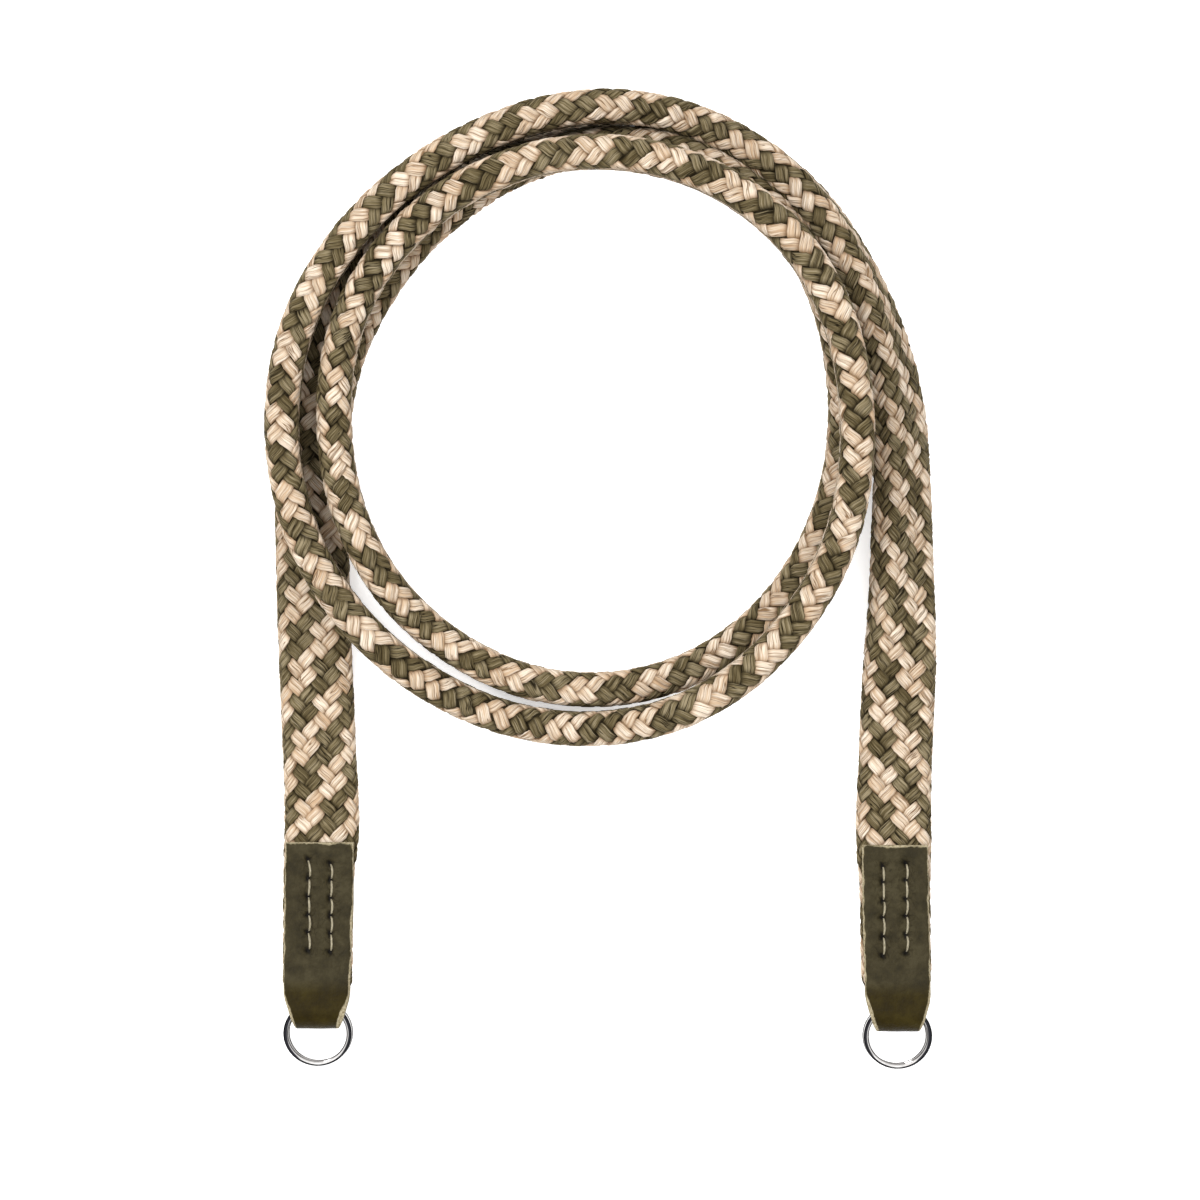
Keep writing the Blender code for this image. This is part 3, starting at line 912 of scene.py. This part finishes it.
def folded_eye(side):
    end_y, middle_x, drift_side = EYES[side]
    path = eye_path()
    from_end, mouth = path[:, 0], path[:, 4][:, None]
    reach, half_width, drift = np.array(EYE_OUTLINE[side]).T
    wide = np.interp(from_end, reach, half_width)[:, None]
    middle = (middle_x + drift_side * np.interp(from_end, reach, drift))[:, None]
    inner = (wide - EDGE_ROUND) * np.linspace(-1, 1, INNER_COLUMNS)[None]
    across = np.concatenate(
        [-wide + NEAR_SIDE[None, :-1], inner, wide - NEAR_SIDE[None, -2::-1]], axis=1
    )
    x = middle + across
    y = end_y + from_end[:, None] + 0 * across

    # the outer face: rounded towards its cut edges, dented at the holes, gently uneven
    from_side = wide - np.abs(across)
    fall = np.clip(1 - np.minimum(from_side, mouth) / EDGE_ROUND, 0, 1)
    out = LEATHER_THICKNESS / 2 - EDGE_ROUND * (1 - np.sqrt(1 - 0.98 * fall**2))
    on_panel = np.abs(path[:, 3])[:, None] > 0.999
    shade, depth = dents(x, y, side)
    shade, depth = shade * on_panel, depth * on_panel
    wave = 0.04 * np.sin(y / 2.3 + x) * np.cos(x / 3.1)
    out = out - depth - 0.03 + np.minimum(wave, 0.02)

    # the inner face closes each row of points
    under_across = np.linspace(1, -1, UNDER_COLUMNS)[None] * (wide - 0.02)
    under_out = -LEATHER_THICKNESS / 2 + 0 * under_across
    sheet_x = np.concatenate([x, middle + under_across], axis=1)
    sheet_out = np.concatenate([out, under_out], axis=1)
    sheet_y = end_y + from_end[:, None] + sheet_out * path[:, 2][:, None]
    sheet_z = FOLD_RADIUS + path[:, 1][:, None] + sheet_out * path[:, 3][:, None]
    verts = np.stack([sheet_x, sheet_y, sheet_z], -1).reshape(-1, 3) * MM
    stations, points = sheet_x.shape
    obj = mesh_object(f"leather_eye_{side}", verts, tube_faces(stations, points), leather)

    outer_points = x.shape[1]
    pale_reach, *pale_widths = np.array(PALE_SIDES[side]).T
    pale_outer, pale_inner = (
        np.interp(from_end, pale_reach, width)[:, None] for width in pale_widths
    )
    pale_side = np.where(across * drift_side > 0, pale_inner, pale_outer)
    from_cut = np.minimum(from_side - pale_side, 0.6 * mouth)
    marks_map = np.zeros((stations, points, 2))
    marks_map[:, :outer_points, 0] = np.clip(from_cut, 0, MARK_REACH) / MARK_REACH
    marks_map[:, :outer_points, 1] = shade
    uv_from_verts(obj, "marks", marks_map.reshape(-1, 2))
    zone_map = np.zeros((stations, points, 2))
    zone_map[..., 0] = np.clip((DARK_FOLD_REACH - (sheet_y - end_y)) / DARK_FOLD_FADE, 0, 1)
    zone_map[:, :outer_points, 1] = near_stitches(x, y, side) * on_panel
    uv_from_verts(obj, "zone", zone_map.reshape(-1, 2))
    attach(obj, "strap")
    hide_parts(f"leather_tab_{side}")
    return obj


for side in EYES:
    piece = folded_eye(side)
    print(piece.name, "faces:", len(piece.data.polygons))

# %% [markdown]
# ## Stitches
#
# Two short rows of cream thread close each eye. A stitch is a slim lens of thread that comes up
# through one hole and goes down through the next. A bevelled curve would keep one thickness, so
# each is a small tube whose rings shrink and sink towards the holes.

# %% Thread
thread, tree, shader = finish_of("cream_thread", 0.7)
wisp = noise(tree, stretched(tree, object_place(tree), (1.0, 0.35, 1.0)), 4200.0, 3.0)
thread_colour = ramp(tree, wisp, [(0.3, (0.13, 0.108, 0.062)), (0.7, (0.30, 0.265, 0.185))])
tree.links.new(thread_colour, shader.inputs["Base Color"])
bumped(tree, shader, wisp, 0.5, 0.0001)
print("thread:", thread.name)

# %% Stitches
STITCH_STATIONS = 15
STITCH_POINTS = 10
STITCH_REACH = 0.97
STITCH_HALF_WIDTH = 0.25
STITCH_HALF_HEIGHT = 0.22
STITCH_SINK = 0.95
STITCH_BOW = 0.22
BOW_SPREAD = 0.07
SLANT_SPREAD = 0.08


def stitch_verts(row_x, start, end, upper):
    """Rows of points of one stitch; upper is 1 on the upper panel and -1 on the lower."""
    lean = SLANT_SPREAD * rng.standard_normal()
    bow = STITCH_BOW + BOW_SPREAD * rng.standard_normal()
    verts = []
    for t in np.linspace(-1, 1, STITCH_STATIONS):
        y = (start + end) / 2 + t * abs(start - end) / 2 * STITCH_REACH
        x = row_x + lean * t + bow * (1 - t * t)
        middle = FOLD_RADIUS - STITCH_SINK * abs(t) ** 5
        half_wide = STITCH_HALF_WIDTH * math.sqrt(1 - 0.75 * t * t)
        half_tall = STITCH_HALF_HEIGHT * math.sqrt(1 - 0.6 * t * t)
        for k in range(STITCH_POINTS):
            a = 2 * math.pi * k / STITCH_POINTS
            z = FOLD_RADIUS + upper * (middle + half_tall * math.sin(a))
            verts.append((x + half_wide * math.cos(a), y, z))
    return verts


def stitches_object(side):
    verts, faces = [], []
    for row_x, row_y in HOLES[side]:
        for upper in (1.0, -1.0):
            for start, end in zip(row_y[:-1], row_y[1:]):
                base = len(verts)
                verts += stitch_verts(row_x, start, end, upper)
                for face in tube_faces(STITCH_STATIONS, STITCH_POINTS):
                    face = [base + v for v in face]
                    faces.append(face if upper < 0 else face[::-1])
    obj = mesh_object(f"stitches_{side}", np.array(verts) * MM, faces, thread)
    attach(obj, "strap")
    return obj


for side in EYES:
    piece = stitches_object(side)
    print(piece.name, "faces:", len(piece.data.polygons))

# %% [markdown]
# ## Split rings
#
# A flat spring wire wound twice. The solid already has the winding in coarse steps; here the same
# winding is drawn in fine steps with rounded corners so that it glints along its whole rim. In a
# white room polished steel vanishes against a white table, so the part of the wire that looks
# outward is kept dark, as it is where a real ring mirrors a dark corner.

# %% Steel
steel, tree, shader = finish_of("polished_steel", 0.16, metallic=1.0)
scuff = noise(tree, object_place(tree), 900.0, 6.0)
tree.links.new(spread(tree, scuff, 0.05, 0.18), shader.inputs["Roughness"])
# "wire": 0 to 1 from the inner to the outer rim, and how far inside the painted dark reflection
across_wire = node(tree, "ShaderNodeSeparateXYZ", Vector=uv_of(tree, "wire"))
bright = ramp(tree, scuff, [(0.3, (0.34, 0.332, 0.325)), (0.7, (0.46, 0.453, 0.445))])
# painted reflection: the inner part of the wire's width is darker
inner_rim = faded(tree, across_wire.outputs["X"], 0.0, 0.55, 1.0, 0.0)
bright = blend_colours(tree, inner_rim, bright, (0.15, 0.142, 0.138))
# painted reflection: the outer rim is near black, for the dark corner it mirrors
dark_rim = faded(tree, across_wire.outputs["Y"], 0.0, 0.06, 0.0, 1.0)
steel_colour = blend_colours(tree, dark_rim, bright, (0.012, 0.012, 0.014))
tree.links.new(steel_colour, shader.inputs["Base Color"])
bumped(tree, shader, scuff, 0.08, 0.0001)
print("steel:", steel.name)

# %% Wound rings, in millimetres and degrees
HINGE_FROM_END = 3.4
HINGE_TO_CENTRE = 4.5
RING_TILT = 17.5
RING_OUTER_RADIUS = 7.15
RING_TURN = 705.0
RING_STATIONS = 231
WIRE_START = 150.0
WIRE_RADIAL = 1.1
WIRE_AXIAL = 0.6
WIRE_POINTS = 20
# below 1, squares the round outline of the wire
WIRE_SQUARENESS = 0.8
# the angle over which the wire climbs from the lower to the upper winding, and how far it goes
CLIMB = [340.0, 360.0]
WINDING_RISE = 0.72
WINDING_SHIFT = 0.3
# width of the painted dark reflection on the rim: least, more towards the outer and the inner
# side, and on the lower winding
DARK_LEAST = 0.38
DARK_OUTER = 0.45
DARK_INNER = 0.30
DARK_BELOW = 0.05


def wire_outline():
    """Points (u, v) of the wire's section: u away from the ring's centre, v along its axis."""
    outline = []
    for k in range(WIRE_POINTS):
        a = 2 * math.pi * k / WIRE_POINTS
        u, v = math.cos(a), math.sin(a)
        u = math.copysign(abs(u) ** WIRE_SQUARENESS, u) * WIRE_RADIAL / 2
        v = math.copysign(abs(v) ** WIRE_SQUARENESS, v) * WIRE_AXIAL / 2
        outline.append((u, v))
    return outline


def dark_width(sideways, upper):
    """How much of the rim is painted dark as a reflection, from how far it lies to the strap's
    outer side.
    """
    if upper <= 0.5:
        return DARK_BELOW
    outer = DARK_OUTER * max(0.0, sideways) ** 1.5
    inner = DARK_INNER * max(0.0, -sideways) ** 1.5
    return DARK_LEAST + (outer + inner)


def ring_object(side):
    end_y, middle_x, inner_side = EYES[side]
    tilt = math.radians(RING_TILT)
    away = np.array([0.0, -math.cos(tilt), -math.sin(tilt)])
    normal = np.array([0.0, -math.sin(tilt), math.cos(tilt)])
    right = np.array([1.0, 0.0, 0.0])
    hinge = np.array([middle_x, end_y + HINGE_FROM_END, FOLD_RADIUS])
    centre = hinge + HINGE_TO_CENTRE * away
    radius = RING_OUTER_RADIUS - WIRE_RADIAL / 2
    outline = wire_outline()
    rows, wire_map = [], []
    for angle in np.linspace(0.0, RING_TURN, RING_STATIONS):
        upper = np.interp(angle, CLIMB, [0.0, 1.0])
        rise = (upper - 0.5) * WINDING_RISE
        slip = (1 - upper) * WINDING_SHIFT * inner_side
        a = math.radians(angle + WIRE_START)
        radial = math.cos(a) * away + math.sin(a) * right
        middle = centre + slip * right
        rows.append([middle + (radius + u) * radial + (rise + v) * normal for u, v in outline])
        dark = dark_width(-inner_side * math.sin(a), upper)
        for u, v in outline:
            inside_dark = np.clip((u - WIRE_RADIAL / 2 + dark) / WIRE_RADIAL, 0, 1)
            wire_map.append((u / WIRE_RADIAL + 0.5, inside_dark))
    verts = np.array(rows).reshape(-1, 3) * MM
    faces = tube_faces(RING_STATIONS, WIRE_POINTS)
    obj = mesh_object(f"wound_ring_{side}", verts, faces, steel)
    uv_from_verts(obj, "wire", wire_map)
    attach(obj, f"ring_{side}")
    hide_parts(f"split_ring_{side}")
    return obj


for side in EYES:
    piece = ring_object(side)
    print(piece.name, "faces:", len(piece.data.polygons))

# %% [markdown]
# ## Floor and light
#
# The strap lies on a plain pale table, lit so brightly that the table turns white, as in a shop's
# picture. A white backdrop in several bright lamps would do the same with more noise, so the table
# glows a little by itself. A big soft sky of light fills the shadows, with darker walls to both
# sides, and one wide lamp from the upper left is just strong enough to model the strands.

# %% Floor
bpy.ops.mesh.primitive_plane_add(size=6.0, location=(0.0, 0.0, 0.0))
floor = bpy.context.object
floor.name = "pale_floor"
paper, tree, shader = finish_of("pale_paper", 0.9)
speck = node(tree, "ShaderNodeTexNoise", Scale=40.0, Detail=3.0).outputs["Fac"]
paper_colour = ramp(tree, speck, [(0.3, (0.90, 0.90, 0.90)), (0.7, (0.92, 0.92, 0.92))])
tree.links.new(paper_colour, shader.inputs["Base Color"])
shader.inputs["Emission Color"].default_value = (1.0, 1.0, 1.0, 1.0)
shader.inputs["Emission Strength"].default_value = 0.5
floor.data.materials.append(paper)
print("floor:", floor.name)

# %% Sky and lamp
SKY_STRENGTH = 2.8
LAMP_PLACE = (-1.3, 1.1, 3.3)
LAMP_SIZE = 1.0
LAMP_POWER = 85.0

world = bpy.data.worlds.new("soft_sky")
world.use_nodes = True
sky = world.node_tree
generated = sky.nodes.new("ShaderNodeTexCoord").outputs["Generated"]
direction = node(sky, "ShaderNodeSeparateXYZ", Vector=generated)
dome = ramp(sky, direction.outputs["Z"], [(0.30, (0.05, 0.05, 0.05)), (0.72, (1.0, 1.0, 1.0))])
sideways = calc(sky, "ABSOLUTE", direction.outputs["X"])
walls = ramp(sky, sideways, [(0.45, (1.0, 1.0, 1.0)), (0.62, (0.12, 0.12, 0.12))])
background = sky.nodes["Background"]
sky.links.new(blend_colours(sky, 1.0, dome, walls, "MULTIPLY"), background.inputs["Color"])
background.inputs["Strength"].default_value = SKY_STRENGTH
bpy.context.scene.world = world

lamp_data = bpy.data.lights.new("wide_lamp", "AREA")
lamp_data.shape = "DISK"
lamp_data.size = LAMP_SIZE
lamp_data.energy = LAMP_POWER
lamp = bpy.data.objects.new("wide_lamp", lamp_data)
lamp.location = LAMP_PLACE
lamp_x, lamp_y, lamp_z = LAMP_PLACE
lamp.rotation_euler = (
    math.atan2(math.hypot(lamp_x, lamp_y), lamp_z), 0.0, math.atan2(lamp_x, -lamp_y)
)
bpy.context.scene.collection.objects.link(lamp)
bpy.context.scene.view_settings.view_transform = "Standard"
print("lamp in watts:", lamp_data.energy, "at", LAMP_PLACE)
